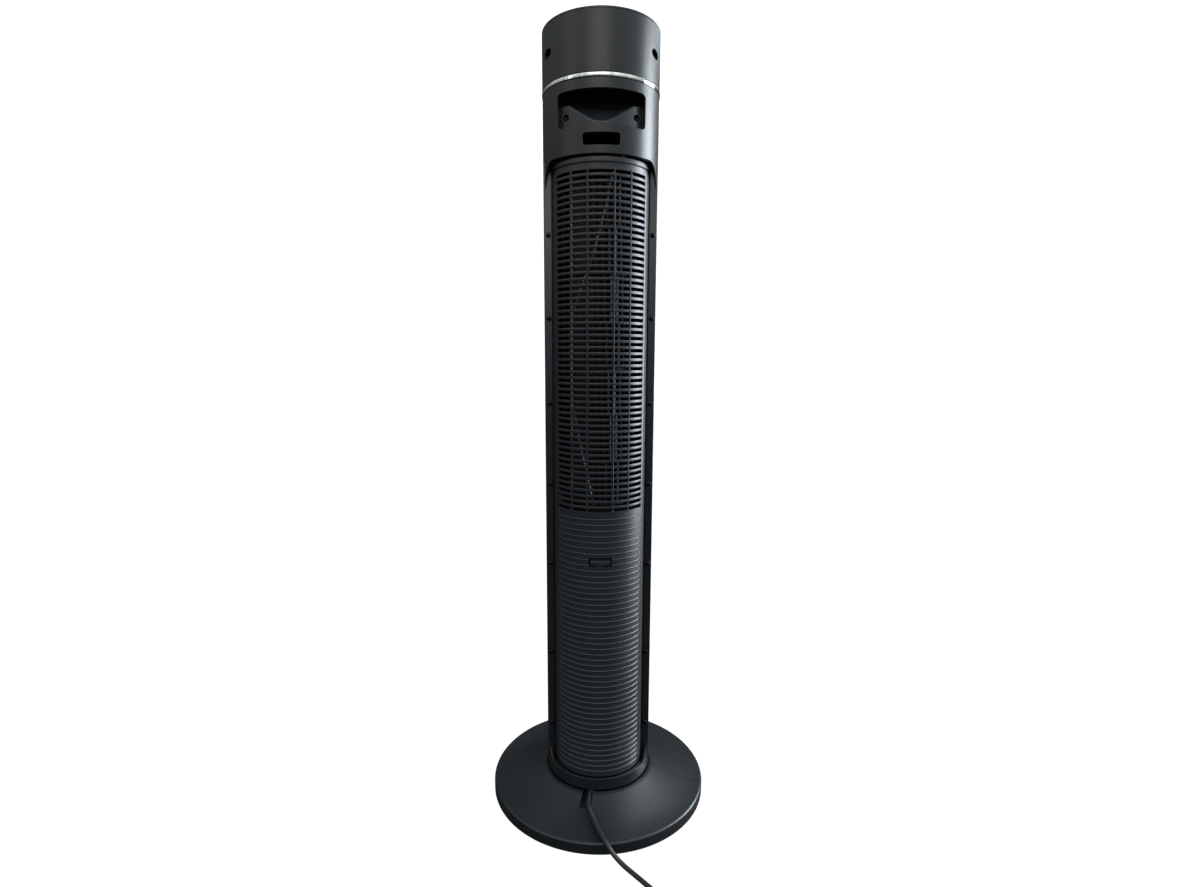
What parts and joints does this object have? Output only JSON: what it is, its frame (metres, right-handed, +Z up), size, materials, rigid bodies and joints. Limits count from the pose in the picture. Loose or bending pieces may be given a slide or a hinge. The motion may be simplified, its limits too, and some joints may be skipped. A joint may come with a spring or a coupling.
{
  "type": "tower fan",
  "caption": "Upright oscillating tower fan: round column with slotted rear grille, carrying recess and front outlet on a round two-piece base, with mains lead.",
  "frame": {"origin": "on the floor under the axis of the column and the round base", "axes": "+Z up along the column; the air outlet faces -Y; the intake grille and the carrying recess face +Y"},
  "size_m": [0.3494, 0.4689, 1.005],
  "materials": {
    "satin_black": "satin moulded ABS, soft highlights",
    "dark_black": "matt moulded plastic",
    "chrome": "mirror-bright plated trim",
    "steel": "plain zinc-plated steel",
    "black_steel": "blackened steel screws",
    "rubber": "matt soft rubber",
    "cord_vinyl": "smooth satin vinyl",
    "acetal": "natural acetal",
    "tinted_lens": "polished tinted window",
    "circuit_board": "solder-masked board"
  },
  "bodies": {
    "base": {"base_front_half": "satin_black", "base_rear_half": "satin_black", "rubber_foot_1": "rubber", "rubber_foot_2": "rubber", "rubber_foot_3": "rubber", "rubber_foot_4": "rubber", "turntable_base": "dark_black", "base_screw_front": "steel", "base_screw_rear": "steel", "slide_ring": "dark_black", "pivot_retainer": "steel", "fixed_gear_sector": "acetal", "cord_strain_relief": "rubber", "power_cord": "cord_vinyl", "cord_coil": "cord_vinyl", "cord_tie": "steel", "mains_plug": "cord_vinyl"},
    "column": {"bottom_deck": "dark_black", "front_shell": "satin_black", "front_grille": "dark_black", "rear_housing": "satin_black", "rear_grille": "satin_black", "handle_pocket": "dark_black", "head_cap": "satin_black", "chrome_ring": "chrome", "top_panel": "satin_black", "display_lens": "tinted_lens", "control_board": "circuit_board", "air_guide": "dark_black", "fan_motor": "steel", "motor_bracket": "steel", "bearing_bush": "steel", "oscillation_motor": "steel", "wire_harness": "rubber", "side_screw_left_1": "black_steel", "side_screw_left_2": "black_steel", "side_screw_left_3": "black_steel", "side_screw_left_4": "black_steel", "side_screw_left_5": "black_steel", "side_screw_left_6": "black_steel", "side_screw_left_7": "black_steel", "side_screw_right_1": "black_steel", "side_screw_right_2": "black_steel", "side_screw_right_3": "black_steel", "side_screw_right_4": "black_steel", "side_screw_right_5": "black_steel", "side_screw_right_6": "black_steel", "side_screw_right_7": "black_steel", "handle_screw_left": "black_steel", "handle_screw_right": "black_steel", "head_screw_left": "black_steel", "head_screw_right": "black_steel"},
    "fan_wheel": {"impeller": "dark_black", "drive_shaft": "steel", "top_journal": "steel"},
    "swing_pinion": {"drive_pinion": "acetal"},
    "power_key": {"button_power": "dark_black"},
    "speed_key": {"button_speed": "dark_black"},
    "swing_key": {"button_swing": "dark_black"},
    "timer_key": {"button_timer": "dark_black"}
  },
  "joints": [
    {"name": "oscillation", "type": "hinge", "parent": "base", "child": "column", "pos_m": [0, 0, 0.03], "axis": [0, 0, 1], "range_deg": [-46.5, 23.5]},
    {"name": "impeller_spin", "type": "hinge", "parent": "column", "child": "fan_wheel", "pos_m": [0, 0.006, 0.628], "axis": [0, 0, 1], "continuous": true},
    {"name": "pinion_turn", "type": "hinge", "parent": "column", "child": "swing_pinion", "pos_m": [0, -0.04, 0.05], "axis": [0, 0, 1], "range_deg": [-190, 98]},
    {"name": "power_press", "type": "slide", "parent": "column", "child": "power_key", "axis": [0, 0, -1], "range_m": [0, 0.0012], "stiffness_N_per_m": 400},
    {"name": "speed_press", "type": "slide", "parent": "column", "child": "speed_key", "axis": [0, 0, -1], "range_m": [0, 0.0012], "stiffness_N_per_m": 400},
    {"name": "swing_press", "type": "slide", "parent": "column", "child": "swing_key", "axis": [0, 0, -1], "range_m": [0, 0.0012], "stiffness_N_per_m": 400},
    {"name": "timer_press", "type": "slide", "parent": "column", "child": "timer_key", "axis": [0, 0, -1], "range_m": [0, 0.0012], "stiffness_N_per_m": 400}
  ],
  "couplings": [
    {"joint": "pinion_turn", "follows": "oscillation", "ratio": 4}
  ]
}
